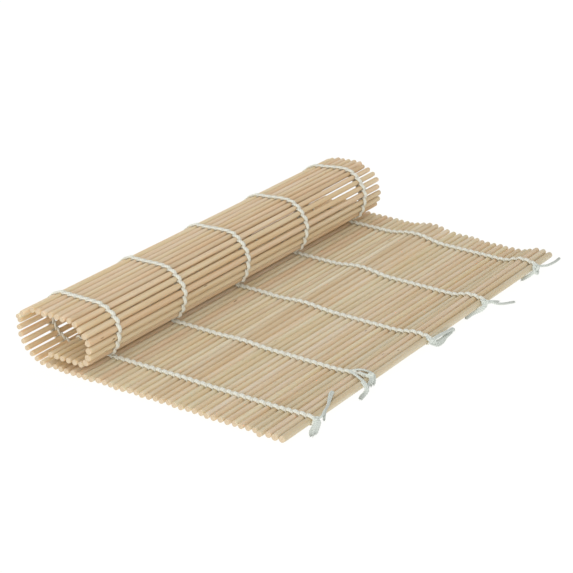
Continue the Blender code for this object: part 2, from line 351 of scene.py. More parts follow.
drifted = add_mix(tree, drift_level.outputs["Result"], stick_colour,
                  add_mix(tree, 1.0, stick_colour, screen_colour(247, 237, 222), "MULTIPLY"))
streak_level = add_node(tree, "ShaderNodeMapRange",
                        {"Value": fibres, "From Min": 0.46, "From Max": 0.72, "To Max": 0.3})
streaked = add_mix(tree, streak_level.outputs["Result"], drifted, screen_colour(194, 160, 116))
pore_level = add_node(tree, "ShaderNodeMapRange",
                      {"Value": pores, "From Min": 0.62, "From Max": 0.74, "To Max": 0.3})
pored = add_mix(tree, pore_level.outputs["Result"], streaked, screen_colour(150, 112, 72))
fleck_level = add_node(tree, "ShaderNodeMapRange",
                       {"Value": flecks, "From Min": 0.755, "From Max": 0.80, "To Max": 0.75})
flecked = add_mix(tree, fleck_level.outputs["Result"], pored, screen_colour(120, 84, 52))
# The tint's lightness and green share hold each stick's own tone and, for some groups, painted shade and
# light.
light_part = tint_parts.outputs["Green"]
cool_part = tint_parts.outputs["Blue"]
green_level = add_node(tree, "ShaderNodeMath", {0: light_part, 1: cool_part}, operation="MULTIPLY")
blue_level = add_node(tree, "ShaderNodeMath", {0: green_level.outputs[0], 1: cool_part},
                      operation="MULTIPLY")
level = add_node(tree, "ShaderNodeCombineColor",
                 {"Red": light_part, "Green": green_level.outputs[0], "Blue": blue_level.outputs[0]})
tree.links.new(add_mix(tree, 1.0, flecked, level.outputs["Color"], "MULTIPLY"), shader.inputs["Base Color"])
shine = add_node(tree, "ShaderNodeMapRange",
                 {"Value": fibres, "From Min": 0.3, "From Max": 0.7, "To Min": 0.46, "To Max": 0.64})
tree.links.new(shine.outputs["Result"], shader.inputs["Roughness"])
relief = add_node(tree, "ShaderNodeBump", {"Height": fibres, "Strength": 0.5, "Distance": 0.05 * MM})
fine_relief = add_node(tree, "ShaderNodeBump", {"Height": pores, "Strength": 0.35, "Distance": 0.03 * MM,
                                                "Normal": relief.outputs["Normal"]})
tree.links.new(fine_relief.outputs["Normal"], shader.inputs["Normal"])
shader.inputs["Specular IOR Level"].default_value = 0.35
shader.inputs["Subsurface Weight"].default_value = 0.15
shader.inputs["Subsurface Radius"].default_value = (1.0, 0.75, 0.5)
shader.inputs["Subsurface Scale"].default_value = 1.4 * MM
print("bamboo finish has", len(tree.nodes), "nodes")

# %% [markdown]
# A sawn end shows the fibre bundles as small brown dots in a paler ground, and the saw leaves it rough.
# The dots are round cells of a Voronoi pattern. It is read from the flat part of the grain mark, across
# the stick, so that the bundles run straight into the end.

# %% Bamboo, sawn ends
sawn, tree, shader = new_finish("sawn_bamboo")
place = add_node(tree, "ShaderNodeAttribute", attribute_name="grain").outputs["Vector"]
flat_place = add_node(tree, "ShaderNodeVectorMath", {0: place, 1: (1.0, 1.0, 0.0)}, operation="MULTIPLY")
bundles = add_node(tree, "ShaderNodeTexVoronoi", {"Vector": flat_place.outputs[0], "Scale": 2.8})
mottle = stretched_noise(tree, place, 1.6, 1.6, detail=4.0)
ground = add_ramp(tree, mottle, ((0.3, screen_colour(212, 194, 166)), (0.7, screen_colour(194, 172, 141))))
dot_level = add_node(tree, "ShaderNodeMapRange",
                     {"Value": bundles.outputs["Distance"], "From Min": 0.16, "From Max": 0.34,
                      "To Min": 0.4, "To Max": 0.0})
tree.links.new(add_mix(tree, dot_level.outputs["Result"], ground, screen_colour(164, 130, 94)),
               shader.inputs["Base Color"])
relief = add_node(tree, "ShaderNodeBump", {"Height": mottle, "Strength": 0.6, "Distance": 0.08 * MM})
tree.links.new(relief.outputs["Normal"], shader.inputs["Normal"])
rough = add_node(tree, "ShaderNodeMapRange", {"Value": mottle, "To Min": 0.7, "To Max": 0.9})
tree.links.new(rough.outputs["Result"], shader.inputs["Roughness"])
print("sawn finish has", len(tree.nodes), "nodes")

# %% [markdown]
# Bleached cotton twine is an off-white with a cold greenish cast beside the warm bamboo. It is matt,
# with a soft edge from its loose fibres, which sheen stands in for. The plies are modelled, and the
# finish adds what is too small for that: fine slanted fibres, a little soil, and the shade deep in the
# seams between the plies, found from how far a point is from the middle of the yarn.

# %% Cotton twine
cotton, tree, shader = new_finish("cotton_twine")
place = add_node(tree, "ShaderNodeAttribute", attribute_name="grain").outputs["Vector"]
tint = add_node(tree, "ShaderNodeAttribute", attribute_name="tint")
hairs = stretched_noise(tree, place, 7.0, 1.4, detail=4.0, roughness=0.65)
soil = stretched_noise(tree, place, 0.5, 0.35, detail=2.0)
fibre_colour = add_ramp(tree, hairs, (
    (0.3, screen_colour(236, 240, 230)),
    (0.6, screen_colour(252, 254, 247))))
soil_level = add_node(tree, "ShaderNodeMapRange",
                      {"Value": soil, "From Min": 0.45, "From Max": 0.75, "To Max": 0.25})
soiled = add_mix(tree, soil_level.outputs["Result"], fibre_colour, screen_colour(214, 211, 192))
flat_place = add_node(tree, "ShaderNodeVectorMath", {0: place, 1: (1.0, 1.0, 0.0)}, operation="MULTIPLY")
ply_height = add_node(tree, "ShaderNodeVectorMath", {0: flat_place.outputs[0]}, operation="LENGTH")
ply_level = add_node(tree, "ShaderNodeMapRange",
                     {"Value": ply_height.outputs["Value"], "From Min": 0.42, "From Max": 0.52,
                      "To Min": 0.22, "To Max": 0.0})
grooved = add_mix(tree, ply_level.outputs["Result"], soiled, screen_colour(128, 122, 104))
tree.links.new(add_mix(tree, 1.0, grooved, tint.outputs["Color"], "MULTIPLY"), shader.inputs["Base Color"])
relief = add_node(tree, "ShaderNodeBump", {"Height": hairs, "Strength": 0.7, "Distance": 0.06 * MM})
tree.links.new(relief.outputs["Normal"], shader.inputs["Normal"])
rough = add_node(tree, "ShaderNodeMapRange", {"Value": hairs, "To Min": 0.82, "To Max": 0.96})
tree.links.new(rough.outputs["Result"], shader.inputs["Roughness"])
shader.inputs["Sheen Weight"].default_value = 0.3
shader.inputs["Sheen Roughness"].default_value = 0.5
shader.inputs["Specular IOR Level"].default_value = 0.2
print("cotton finish has", len(tree.nodes), "nodes")

# %% [markdown]
# The sticks
#
# Sticks come in bundles, and neighbours from one cane are alike. Drawing every value at random would
# miss that. Three tables say so for groups of sticks: how thick they are at their two ends, how light
# and green they are, and how far they stick out past the layout. The tone table also holds painted
# shade and painted light for the groups that lie in the roll's shade or light.

# %% Thickness, tone and extra length of the sticks
STICK_RADII = (
    # first stick, last stick, radius in mm at the near end, at the far end
    (1, 2, 1.61, 1.61),
    (3, 3, 1.52, 1.52),
    (4, 37, 1.38, 1.38),
    (38, 47, 1.25, 1.22),
    (48, 53, 1.44, 1.32),
    (54, 57, 1.5, 1.26),
    (58, 61, 1.6, 1.32),
    (62, 67, 1.38, 1.34),
)
# Painted shade: stick 1 is darker as a contact shadow, 27 to 37 beside and under the roll are darker and 30
# to 37 also warmer, 54 to 61 low on the roll's outer side are warmer and 58 to 61 also darker. Painted
# light: 38 to 53 and 62 to 67, the inside and top of the roll, are lighter.
STICK_TONES_AND_SHADE = (
    # first stick, last stick, lightness with painted shade and light, how much green and blue it keeps
    (1, 1, 0.89, 1.02),
    (2, 6, 0.935, 1.02),
    (7, 23, 0.99, 1.04),
    (24, 26, 1.0, 1.03),
    (27, 29, 0.97, 1.005),
    (30, 37, 0.94, 0.985),
    (38, 47, 1.17, 1.02),
    (48, 53, 1.07, 1.015),
    (54, 57, 1.0, 0.98),
    (58, 61, 0.97, 0.97),
    (62, 67, 1.08, 1.01),
)
END_EXTRAS = (
    # first stick, last stick, extra length in mm at the near end, at the far end
    (1, 2, 0.9, 1.5),
    (3, 3, 0.6, 0.6),
    (4, 4, 2.8, 0.2),
    (5, 6, 0.9, 1.6),
    (7, 12, 0.9, 0.7),
    (13, 17, 0.9, 2.0),
    (18, 21, 0.9, 1.1),
    (22, 24, 0.9, 0.0),
    (25, 32, 1.2, 1.6),
    (33, 43, 1.2, 2.0),
    (44, 45, 1.2, 2.8),
    (46, 47, 3.4, 3.3),
    (48, 50, 0.9, 2.6),
    (51, 53, 0.9, 2.5),
    (54, 57, 0.9, -0.3),
    (58, 61, 0.6, -1.8),
    (62, 67, 0.6, 0.0),
)


def row_values(table, stick):
    """The two values that a table has for a stick."""
    for first, last, one, other in table:
        if first <= stick <= last:
            return one, other


def end_extras(stick):
    """How much longer than the layout a stick is, at its near and its far end."""
    near, far = row_values(END_EXTRAS, stick)
    return near * MM, far * MM


def stick_radius(stick, y):
    """Radius of a stick where it crosses the plane at y."""
    near, far = row_values(STICK_RADII, stick)
    return (near + (far - near) * (y - NEAR_Y) / STICK_LENGTH) * MM


thicknesses = [2 * stick_radius(stick, NEAR_Y) / MM for stick in range(1, STICKS + 1)]
print("sticks are", round(min(thicknesses), 2), "to", round(max(thicknesses), 2), "mm thick")

# %% [markdown]
# Each stick was split from a cane and pushed through a round die. It is nearly round, but its thickness
# wanders, it bows a little, and the saw never cuts its ends quite square. A cylinder would lose all
# that, so every stick is a tube of its own: rings along the stick with a slowly changing radius, and
# smaller rings close to each end for the broken edge and the sawn face, which is cut at a slant.

# %% Rings of one stick
STICK_SIDES = 18
STICK_RINGS = 30
BROKEN_EDGE = 0.14 * MM
END_RINGS = (
    # distance from the end, share of the full radius
    (0.0, 0.5),
    (0.0, 0.8),
    (BROKEN_EDGE * 0.3, 0.89),
    (BROKEN_EDGE, 0.93),
    (1.2 * MM, 0.97),
    (3.0 * MM, 1.0),
)
END_ZONE = 8 * MM
# The first sticks have the thickness that the table gives. The others differ from it by chance.
MATCHED_STICKS = 3
RADIUS_SPREAD = 0.035
BOW = 0.1 * MM
SLANT = math.radians(7)
WANDER = 0.035
WANDER_LENGTH = 14 * MM
# Each stick reads the grain at a place of its own: a step aside, in mm, and a shift along it.
PATTERN_STEP = 10
PATTERN_SHIFT = 50
around = np.linspace(0, 2 * math.pi, STICK_SIDES, endpoint=False)


def stick_axes(stick, near_extra, far_extra):
    """End centres of a stick and the directions across and above it."""
    near = centre(stick, NEAR_Y - near_extra)
    far = centre(stick, FAR_Y + far_extra)
    axis = (far - near).normalized()
    side = upper_side(stick, 0.0).cross(axis).normalized()
    return near, far, side, axis.cross(side)


def end_rings(length):
    """Place along the stick and radius factor of every ring, from end to end."""
    end, end_shrink = zip(*END_RINGS)
    body = np.linspace(END_ZONE, length - END_ZONE, STICK_RINGS)
    places = [*end, *body, *[length - place for place in end[::-1]]]
    return np.array(places), np.array([*end_shrink, *np.ones(STICK_RINGS), *end_shrink[::-1]])


def stick_tube(stick, near, far, side, up, draw):
    """Rings and grain marks of one uneven stick between its end centres near and far."""
    length = (far - near).length
    places, shrink = end_rings(length)
    spread = RADIUS_SPREAD if stick > MATCHED_STICKS else 0.0
    thickness = 1 + draw.uniform(-spread, spread)
    bow = draw.uniform(-BOW, BOW)
    slants = [(draw.uniform(-SLANT, SLANT), draw.uniform(0, 2 * math.pi)) for _ in range(2)]
    phase = draw.uniform(0, PATTERN_SHIFT)
    rings = np.zeros((len(places), STICK_SIDES, 3))
    grain = np.zeros_like(rings)
    for ring, (place, factor) in enumerate(zip(places, shrink)):
        slant, toward = slants[0] if place < length / 2 else slants[1]
        in_the_cut = min(place, length - place) < 2 * BROKEN_EDGE
        bend = bow * math.sin(math.pi * place / length)
        base = thickness * stick_radius(stick, near.y + place)
        for index, angle in enumerate(around):
            spot = Vector((math.cos(angle) + phase, math.sin(angle), place / WANDER_LENGTH))
            radius = base * factor * (1 + WANDER * noise.noise(spot))
            x = radius * math.cos(angle)
            y = radius * math.sin(angle)
            shift = math.tan(slant) * radius * math.cos(angle - toward) if in_the_cut else 0.0
            here = near.lerp(far, (place + shift) / length) + side * x + up * (y + bend)
            rings[ring, index] = here
            grain[ring, index] = (x / MM + PATTERN_STEP * stick, y / MM, (place + shift) / MM + phase)
    return rings, grain


print("a stick has", len(end_rings(STICK_LENGTH)[0]), "rings of", STICK_SIDES, "points")

# %% [markdown]
# Now all the sticks are made in one heap. Two separate rows of random numbers are used. The first gives
# only the lengths, and repeats the draws of the solids, so every stick ends where its solid ends. The
# second gives everything else, so a new value there can't move an end. The bands at the two ends take
# the sawn finish.

# %% Uneven round sticks
END_JITTER = 0.5 * MM
LENGTH_SEED = 7
LOOKS_SEED = 23
LIGHT_SPREAD = (0.95, 1.02)
SAWN_BANDS = 2
sticks_heap = Heap()
lengths = random.Random(LENGTH_SEED)
looks = random.Random(LOOKS_SEED)
for stick in range(1, STICKS + 1):
    near_extra, far_extra = (extra + lengths.uniform(-END_JITTER, END_JITTER)
                             for extra in end_extras(stick))
    near, far, side, up = stick_axes(stick, near_extra, far_extra)
    rings, grain = stick_tube(stick, near, far, side, up, looks)
    lightness, cool = row_values(STICK_TONES_AND_SHADE, stick)
    tint = (looks.random(), lightness * looks.uniform(*LIGHT_SPREAD), cool, 1.0)
    kinds = [1] * SAWN_BANDS + [0] * (len(rings) - 1 - 2 * SAWN_BANDS) + [1] * SAWN_BANDS
    sticks_heap.add_tube(rings, grain, tint, kinds)

sticks = sticks_heap.make("bamboo_sticks", (bamboo, sawn))
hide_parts("flat_sticks", *[f"stick_{stick}" for stick in range(FLAT_STICKS + 1, STICKS + 1)])
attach(sticks, "root")

# %% [markdown]
# The twine
#
# Two yarns run together down the mat. Between one stick and the next they cross, so each stick passes
# between them: one yarn over it, the other under it. Both come round the last stick as one loop, and
# both end in the knot at the other edge. From above only short slanted stitches show, each laid partly
# beside the next, like a flat rope. They could be drawn as one rope laid on top, but then the back of
# the mat and the inside of the roll would be bare. The lines are straight on the flat part and wander
# on the roll, which leans a little, so a table gives the drift of each line.

# %% Lines of the twine
TWINE_LINES = (-97.5 * MM, -51.3 * MM, 0.0, 51.7 * MM, 104.5 * MM)
DRIFTS = (
    # stick, drift in mm towards +Y of twine 1, 2, 3, 4, 5
    (1, 0.0, 0.0, 0.0, 0.0, 0.0),
    (22, 0.0, 0.0, 0.0, 0.0, 0.0),
    (29, 0.0, 0.5, 1.1, 0.2, 0.0),
    (38, -0.2, 1.0, 1.4, 0.6, 0.8),
    (47, -0.8, 3.6, 3.6, 2.3, 3.4),
    (50, -1.2, 2.4, 2.4, 1.6, 2.6),
    (53, -1.1, 3.0, 3.4, 3.0, 4.4),
    (57, -0.6, 1.6, 1.1, 0.2, 1.4),
    (60, -2.8, -0.6, -1.4, -3.0, -1.4),
    (67, -0.6, 0.0, -0.4, -0.8, -0.4),
)


def twine_place(number, stick):
    """Where a twine crosses the mat, along Y, at a whole stick or between two."""
    stick = min(max(stick, 1), STICKS)
    for before, after in zip(DRIFTS, DRIFTS[1:]):
        if before[0] <= stick <= after[0]:
            share = (stick - before[0]) / (after[0] - before[0])
            eased = share * share * (3 - 2 * share)
            drift = before[number] + (after[number] - before[number]) * eased
            return TWINE_LINES[number - 1] + drift * MM


print("lines of twine:", len(TWINE_LINES), "from y", round(min(TWINE_LINES) / MM, 1), "mm to",
      round(max(TWINE_LINES) / MM, 1), "mm")

# %% [markdown]
# One formula serves every stitch: a flattened half ring round the stick, from gap to gap. A sideways
# lean lays it aslant, and an overrun carries it a little past the gap before it dives, so that it ends
# beside the start of the next one. In the gap itself the yarn is squeezed between the sticks, and its
# tint is painted darker and browner there: painted shade from the two sticks and painted reflected
# light from the bamboo around it. The yarn on the mat's outer face is broad and full. The one on the
# face towards the table or the inside of the roll is pulled tight, so it is made thinner.

# %% Path of one yarn round one stick
YARN_THICK = 0.5 * MM
YARN_WIDE = 1.14 * MM
BACK_THICK = 0.4 * MM
BACK_WIDE = 0.62 * MM
CROSS_THICK = 0.19 * MM
CROSS_WIDE = 0.6 * MM
LEAN = 0.54 * MM
OVERRUN = 0.5 * MM
# The lean and overrun curves reach 1 at their highest once they are multiplied by these.
LEAN_SCALE = 1.87
OVERRUN_SCALE = 3.3
SHOULDER = 0.26
SQUEEZE_POWER = 8
LINE_TINT = (1.0, 0.985, 0.955)
# Painted shade and painted reflected bamboo light: the tint deep in a gap, for the outer and the hidden
# yarn.
GROOVE_SHADE_TINT = (0.62, 0.54, 0.44)
BACK_GROOVE_SHADE_TINT = (0.46, 0.37, 0.27)
STITCH_STEPS = 20
TABLE_ROOM = 0.04 * MM


def stitch(number, stick, phase, side):
    """Middle, outward direction, half sizes and tint of a yarn. phase runs from -1 to 1 across the stick,
    and side is 1 over the stick and -1 under it."""
    y = twine_place(number, stick + phase / 2) + LEAN * LEAN_SCALE * phase * (1 - phase ** 4)
    middle = centre(stick, y)
    up = upper_side(stick, y)
    along = mat_direction(stick, y)
    turn = math.radians(90 * phase)
    radius = stick_radius(stick, y)
    outer_side = side > 0 if stick <= FLAT_STICKS else side < 0
    full, broad = (YARN_THICK, YARN_WIDE) if outer_side else (BACK_THICK, BACK_WIDE)
    if side < 0 and stick <= FLAT_STICKS:
        full = min(full, (middle.z - radius) / 2 - TABLE_ROOM)
    reach = radius + full
    round_the_edge = (stick == STICKS and phase > 0) or (stick == 1 and phase < 0)
    if round_the_edge:
        point = middle + reach * (up * (side * math.cos(turn)) + along * math.sin(turn))
        squeeze = 0.0
    else:
        neighbour = min(max(stick + (1 if phase > 0 else -1), 1), STICKS)
        toward_gap = (centre(neighbour, y) - middle) / 2
        squeeze = abs(phase) ** SQUEEZE_POWER
        rise = max(math.cos(turn), 0.0) ** SHOULDER
        crossing = side * CROSS_THICK * math.copysign(squeeze, phase)
        overrun = OVERRUN * OVERRUN_SCALE * phase ** 3 * (1 - phase ** 4)
        point = middle + up * (side * reach * rise) + toward_gap * abs(math.sin(turn))
        point += along * (crossing + overrun)
    outward = up * math.cos(turn) + along * (side * math.sin(turn))
    thick = full + (CROSS_THICK - full) * squeeze
    wide = broad + (CROSS_WIDE - broad) * (0.0 if round_the_edge else abs(phase) ** 3)
    # Towards the gap the tint is painted darker and browner, a painted shade.
    groove_shade_tint = GROOVE_SHADE_TINT if outer_side else BACK_GROOVE_SHADE_TINT
    depth = abs(phase) ** 2
    tint = tuple(line + (groove - line) * depth for line, groove in zip(LINE_TINT, groove_shade_tint))
    return point, outward, thick, wide, tint


crest = stitch(1, CHECKED_STICK, 0.0, 1)[0]
crest_height = (crest - centre(CHECKED_STICK, crest.y)).length
print("the yarn's middle runs", round(crest_height / MM, 2), "mm from the middle of its stick")

# %% [markdown]
# The yarn itself is three plies twisted together, so its outline has three lobes that turn as the yarn
# runs on. Sweeping a round section would give spaghetti. Here the section is a ring of points whose
# radius rises three times, turned a little further at every step.

# %% Plied section swept along a path
YARN_SIDES = 12
PLIES = 3
PLY_RISE = 0.16
LAY_LENGTH = 3.6 * MM


def yarn_rings(points, outward, thick, wide):
    """Rings, grain marks and length of a plied yarn along a path."""
    points = np.array(points)
    outward = np.array(outward)
    tangent = np.gradient(points, axis=0)
    tangent /= np.linalg.norm(tangent, axis=1)[:, None]
    across = np.cross(outward, tangent)
    across /= np.linalg.norm(across, axis=1)[:, None]
    outward = np.cross(tangent, across)
    steps = np.linalg.norm(np.diff(points, axis=0), axis=1)
    run = np.concatenate([[0.0], np.cumsum(steps)])
    angle = np.linspace(0, 2 * math.pi, YARN_SIDES, endpoint=False)[None, :]
    twist = (2 * math.pi * run / LAY_LENGTH)[:, None]
    lobes = 1 + PLY_RISE * np.cos(PLIES * (angle - twist))
    wide_part = np.array(wide)[:, None] * lobes * np.cos(angle)
    thick_part = np.array(thick)[:, None] * lobes * np.sin(angle)
    rings = (points[:, None, :] + wide_part[..., None] * across[:, None, :]
             + thick_part[..., None] * outward[:, None, :])
    grain = np.zeros_like(rings)
    grain[..., 0] = lobes * np.cos(angle - twist) / 2
    grain[..., 1] = lobes * np.sin(angle - twist) / 2
    grain[..., 2] = run[:, None] / MM
    return rings, grain, run[-1]


def smooth_route(points, steps):
    """Points along a smooth curve that passes through all the given ones."""
    ends = [2 * points[0] - points[1], *points, 2 * points[-1] - points[-2]]
    route = []
    for p0, p1, p2, p3 in zip(ends, ends[1:], ends[2:], ends[3:]):
        for step in range(steps):
            t = step / steps
            route.append(0.5 * (2 * p1 + (p2 - p0) * t + (2 * p0 - 5 * p1 + 4 * p2 - p3) * t ** 2
                                + (3 * p1 - p0 - 3 * p2 + p3) * t ** 3))
    route.append(points[-1])
    return route


# %% Directions carried along a path
def carried_directions(points, first):
    """A direction beside the path, carried along it without twisting."""
    carried = []
    direction = first
    for before, after in zip([points[0], *points[:-1]], [*points[1:], points[-1]]):
        tangent = (after - before).normalized()
        direction = (direction - tangent * direction.dot(tangent)).normalized()
        carried.append(direction)
    return carried


print("a yarn turns once in", round(LAY_LENGTH / MM, 1), "mm")

# %% [markdown]
# Knots and loose ends
#
# At the edge each pair of yarns is tied and cut off, and no two ends fell the same way. Some are doubled
# back, one is a narrow bow, and the ends of the last two run under the lifted edge stick. No formula
# gives that, so the loose ends follow listed points, measured out from the edge stick, along it
# from the twine's line, and up from the table, in millimetres. A smooth curve passes through the points.

# %% Routes of the loose ends
LOOSE_ENDS = (
    # twine, half thickness, half width, then the route
    (1, 0.55, 0.78, (
        (3.6, -1.0, 4.4), (4.7, -3.0, 3.7), (5.0, -5.2, 2.7), (5.3, -7.2, 1.6), (6.3, -8.7, 0.9))),
    (1, 0.55, 0.78, (
        (4.2, -1.0, 4.6), (5.6, -3.0, 4.0), (6.1, -5.4, 2.9), (6.5, -7.2, 1.8), (7.0, -8.4, 1.0))),
    (1, 0.50, 0.75, (
        (4.4, -0.6, 4.4), (6.0, -1.8, 4.0), (6.8, -4.0, 2.9), (7.3, -5.8, 1.9), (7.4, -7.0, 1.4))),
    (1, 0.45, 0.54, (
        (3.8, -1.2, 4.5), (4.7, 1.5, 4.8), (3.8, 4.4, 4.8), (2.8, 7.2, 4.8), (1.4, 11.5, 4.85),
        (-0.8, 16.0, 4.9), (-3.0, 20.0, 5.0), (-4.2, 22.7, 5.05), (-4.0, 23.9, 5.05), (-3.3, 23.4, 5.05),
        (-2.6, 21.4, 5.1), (-0.95, 17.5, 5.1), (1.3, 12.4, 5.0), (3.1, 7.4, 4.9), (4.9, 3.8, 4.3),
        (6.1, 1.6, 3.8))),
    (2, 0.46, 0.66, (
        (-9.6, -0.2, 4.9), (-8.2, 0.8, 5.1), (-6.6, 2.3, 5.3), (-4.6, 3.4, 5.35), (-1.6, 3.7, 5.15),
        (0.7, 3.3, 4.9), (2.4, 2.0, 4.3), (3.3, 0.4, 3.3), (3.7, -0.8, 2.3))),
    (2, 0.48, 0.74, (
        (-9.2, -0.5, 5.0), (-7.6, -1.1, 5.2), (-5.4, -2.2, 5.35), (-2.5, -3.6, 5.2), (1.2, -5.5, 5.0),
        (3.5, -6.7, 4.1), (4.7, -7.4, 2.7), (4.8, -8.6, 1.6), (4.7, -10.4, 0.95), (5.1, -13.2, 0.65))),
    (2, 0.42, 0.60, (
        (0.8, -6.2, 4.8), (3.0, -7.2, 3.8), (4.0, -7.9, 2.6), (4.0, -9.2, 1.5), (3.8, -10.8, 0.95),
        (4.2, -13.0, 0.62))),
    (2, 0.46, 0.66, (
        (-3.4, -0.3, 5.7), (-0.9, -0.5, 5.6), (0.8, -0.4, 5.4), (2.1, -0.8, 4.7), (2.8, -2.2, 4.3),
        (3.5, -4.4, 4.0), (4.2, -6.4, 3.4))),
    (2, 0.44, 0.70, (
        (0.6, 1.6, 5.3), (2.0, 0.9, 4.9), (3.0, -0.6, 4.2), (3.3, -2.2, 3.4), (3.7, -3.0, 2.6))),
    (3, 0.62, 0.92, (
        (0.8, -0.7, 5.3), (3.1, -2.4, 4.8), (3.8, -1.0, 4.8), (3.8, 2.2, 4.6), (3.8, 6.6, 4.4),
        (4.0, 11.2, 4.0), (4.0, 15.2, 3.6), (3.8, 17.4, 3.3), (4.1, 18.0, 2.8))),
    (3, 0.50, 0.72, (
        (4.0, 16.9, 3.3), (4.4, 15.4, 2.4), (4.2, 13.2, 2.1), (4.4, 10.2, 1.8), (5.2, 6.6, 1.3),
        (5.6, 2.8, 1.3), (5.3, 0.2, 1.7), (4.5, -1.5, 2.7), (4.0, -3.0, 3.6), (3.2, -2.4, 4.5))),
    (3, 0.50, 1.15, (
        (4.3, -0.8, 3.4), (4.7, 2.6, 2.7), (4.7, 6.8, 2.4), (4.5, 10.8, 2.5), (4.2, 14.2, 2.8))),
    (3, 0.45, 0.80, (
        (4.8, -0.6, 2.6), (5.1, 2.2, 1.9), (5.0, 5.4, 1.7), (4.7, 8.6, 1.8))),
    (4, 0.52, 0.64, (
        (0.9, -1.9, 5.8), (2.6, -2.4, 5.3), (4.0, -0.9, 4.7), (4.9, 1.8, 4.2), (6.2, 3.6, 3.2),
        (7.3, 7.3, 2.0), (8.3, 11.3, 1.2), (9.6, 15.6, 0.62))),
    (4, 0.44, 0.60, (
        (3.0, -0.8, 5.2), (4.4, 1.4, 4.8), (5.0, 4.0, 4.0), (5.8, 6.4, 3.2))),
    (4, 0.55, 1.10, (
        (2.0, -1.6, 5.4), (3.4, -2.4, 4.8), (3.9, -4.2, 3.8), (3.3, -5.8, 2.8), (2.2, -6.9, 2.1),
        (1.2, -7.8, 1.6), (0.5, -9.6, 1.3), (0.2, -12.0, 1.0), (0.0, -14.6, 0.75))),
    (4, 0.45, 0.70, (
        (1.6, -0.6, 5.6), (3.3, -0.9, 4.7), (3.9, -2.6, 3.7), (3.6, -4.6, 2.9))),
    (5, 0.52, 0.62, (
        (0.9, -1.3, 6.2), (2.6, -1.9, 5.6), (3.4, 0.4, 5.0), (4.0, 3.4, 4.3), (4.3, 7.2, 3.3),
        (3.8, 13.6, 2.1), (3.2, 19.3, 1.2), (2.3, 25.4, 0.62))),
    (5, 0.55, 0.72, (
        (1.6, -1.4, 6.0), (2.6, -3.2, 5.2), (3.6, -4.9, 4.3), (4.7, -4.6, 3.1), (4.7, -2.9, 3.1),
        (3.8, -2.2, 4.1))),
    (5, 0.50, 0.70, (
        (1.4, 0.2, 6.0), (2.9, -0.4, 5.2), (3.7, -1.8, 4.2), (3.7, -3.6, 3.3))),
    (5, 0.52, 0.95, (
        (3.2, -3.4, 4.6), (3.0, -5.0, 3.4), (2.1, -6.6, 2.3), (1.2, -8.4, 1.6), (0.2, -11.2, 1.0))),
)
ROUTE_STEPS = 10


def edge_place(number, point):
    """World place of a point measured from the edge stick and a twine's line, in millimetres."""
    edge = centre(1, TWINE_LINES[number - 1])
    return Vector((edge.x, edge.y, 0)) + MM * Vector(point)


print("loose ends:", len(LOOSE_ENDS))

# %% [markdown]
# A knot is a yarn that passes through its own loop. The simplest such curve is the trefoil, so a tight
# trefoil of thick yarn makes each lump, turned a different way every time. The cut ends fray: a few short
# thin fibres fan out of each one. Knots and loose ends have a greyer, darker tint than the lines, and the
# loose ends and their fibres are painted darker still towards the cut tips, a painted shade.

# %% Knots
KNOTS = (
    # twine, place, size, turn in degrees
    (1, (3.9, -1.4, 4.3), 1.4, 20),
    (2, (1.0, 1.0, 5.3), 1.2, 75),
    (3, (3.9, -1.5, 4.3), 1.4, 130),
    (4, (3.1, -1.9, 5.0), 1.45, 200),
    (5, (3.2, -2.3, 5.0), 1.7, 290),
)
KNOT_YARN = 0.58 * MM
KNOT_STRETCH = Vector((0.85, 1.0, 1.7))
KNOT_STEPS = 60
END_TINT = (0.79, 0.82, 0.82, 1.0)
TIP_SHADE = 0.72


def shaded_tip_tint(share):
    """Tint of a loose end, painted darker towards its cut tip as a painted shade."""
    shade = 1 - (1 - TIP_SHADE) * share ** 3
    return (END_TINT[0] * shade, END_TINT[1] * shade, END_TINT[2] * shade, 1.0)


def knot_points(number, place, size, turn):
    """A tight trefoil at the edge stick, turned about its own upright."""
    points = []
    for step in range(KNOT_STEPS + 1):
        t = 2 * math.pi * step / KNOT_STEPS
        shape = Vector((math.sin(t) + 2 * math.sin(2 * t),
                        math.cos(t) - 2 * math.cos(2 * t),
                        -math.sin(3 * t)))
        shape = Matrix.Rotation(math.radians(turn), 3, "Z") @ (shape * size / 3)
        points.append(edge_place(number, place) + MM * (shape * KNOT_STRETCH))
    return points


print("knots:", len(KNOTS), "with", KNOT_STEPS, "steps each")

# %% Frayed ends
FRAY_FIBRES = 9
FRAY_LENGTH = 1.3 * MM
FRAY_RADIUS = 0.06 * MM
FRAY_SPREAD = 0.3 * MM
FRAY_ROOT = 0.4 * MM
FRAY_KNEE = 0.2 * MM
FRAY_BENDS = (0.2, 0.9)
FRAY_SHARES = (0.4, 1.0)
FRAY_TIP = 0.4
FRAY_FACING = Vector((0.1, 0.2, 1))


def add_fray(heap, place, ahead, draw):
    """Short fibres that fan out of a cut end. Each starts inside the yarn and bends where it leaves it."""
    for _ in range(FRAY_FIBRES):
        aside = Vector([draw.uniform(-1, 1) for _ in range(3)])
        aside = aside - ahead * aside.dot(ahead)
        start = place + aside * FRAY_SPREAD
        bend = ahead + aside * draw.uniform(*FRAY_BENDS)
        reach = FRAY_LENGTH * draw.uniform(*FRAY_SHARES)
        points = [start - ahead * FRAY_ROOT, start + ahead * FRAY_KNEE, start + (ahead + bend) * reach / 2]
        points = [Vector((p.x, p.y, max(p.z, FRAY_RADIUS))) for p in points]
        size = [FRAY_RADIUS, FRAY_RADIUS, FRAY_RADIUS * FRAY_TIP]
        rings, grain, _ = yarn_rings(points, carried_directions(points, FRAY_FACING), size, size)
        heap.add_tube(rings, grain, shaded_tip_tint(1.0))


print("each cut end frays into", FRAY_FIBRES, "fibres")

# %% [markdown]
# Each twine is one closed run: from the knot over and under all the sticks, round the last one, and back
# with over and under exchanged. It could be two yarns with four ends, but then the loop round the last
# stick would need a join. Near the edge both runs leave the sticks and lead into the knot.

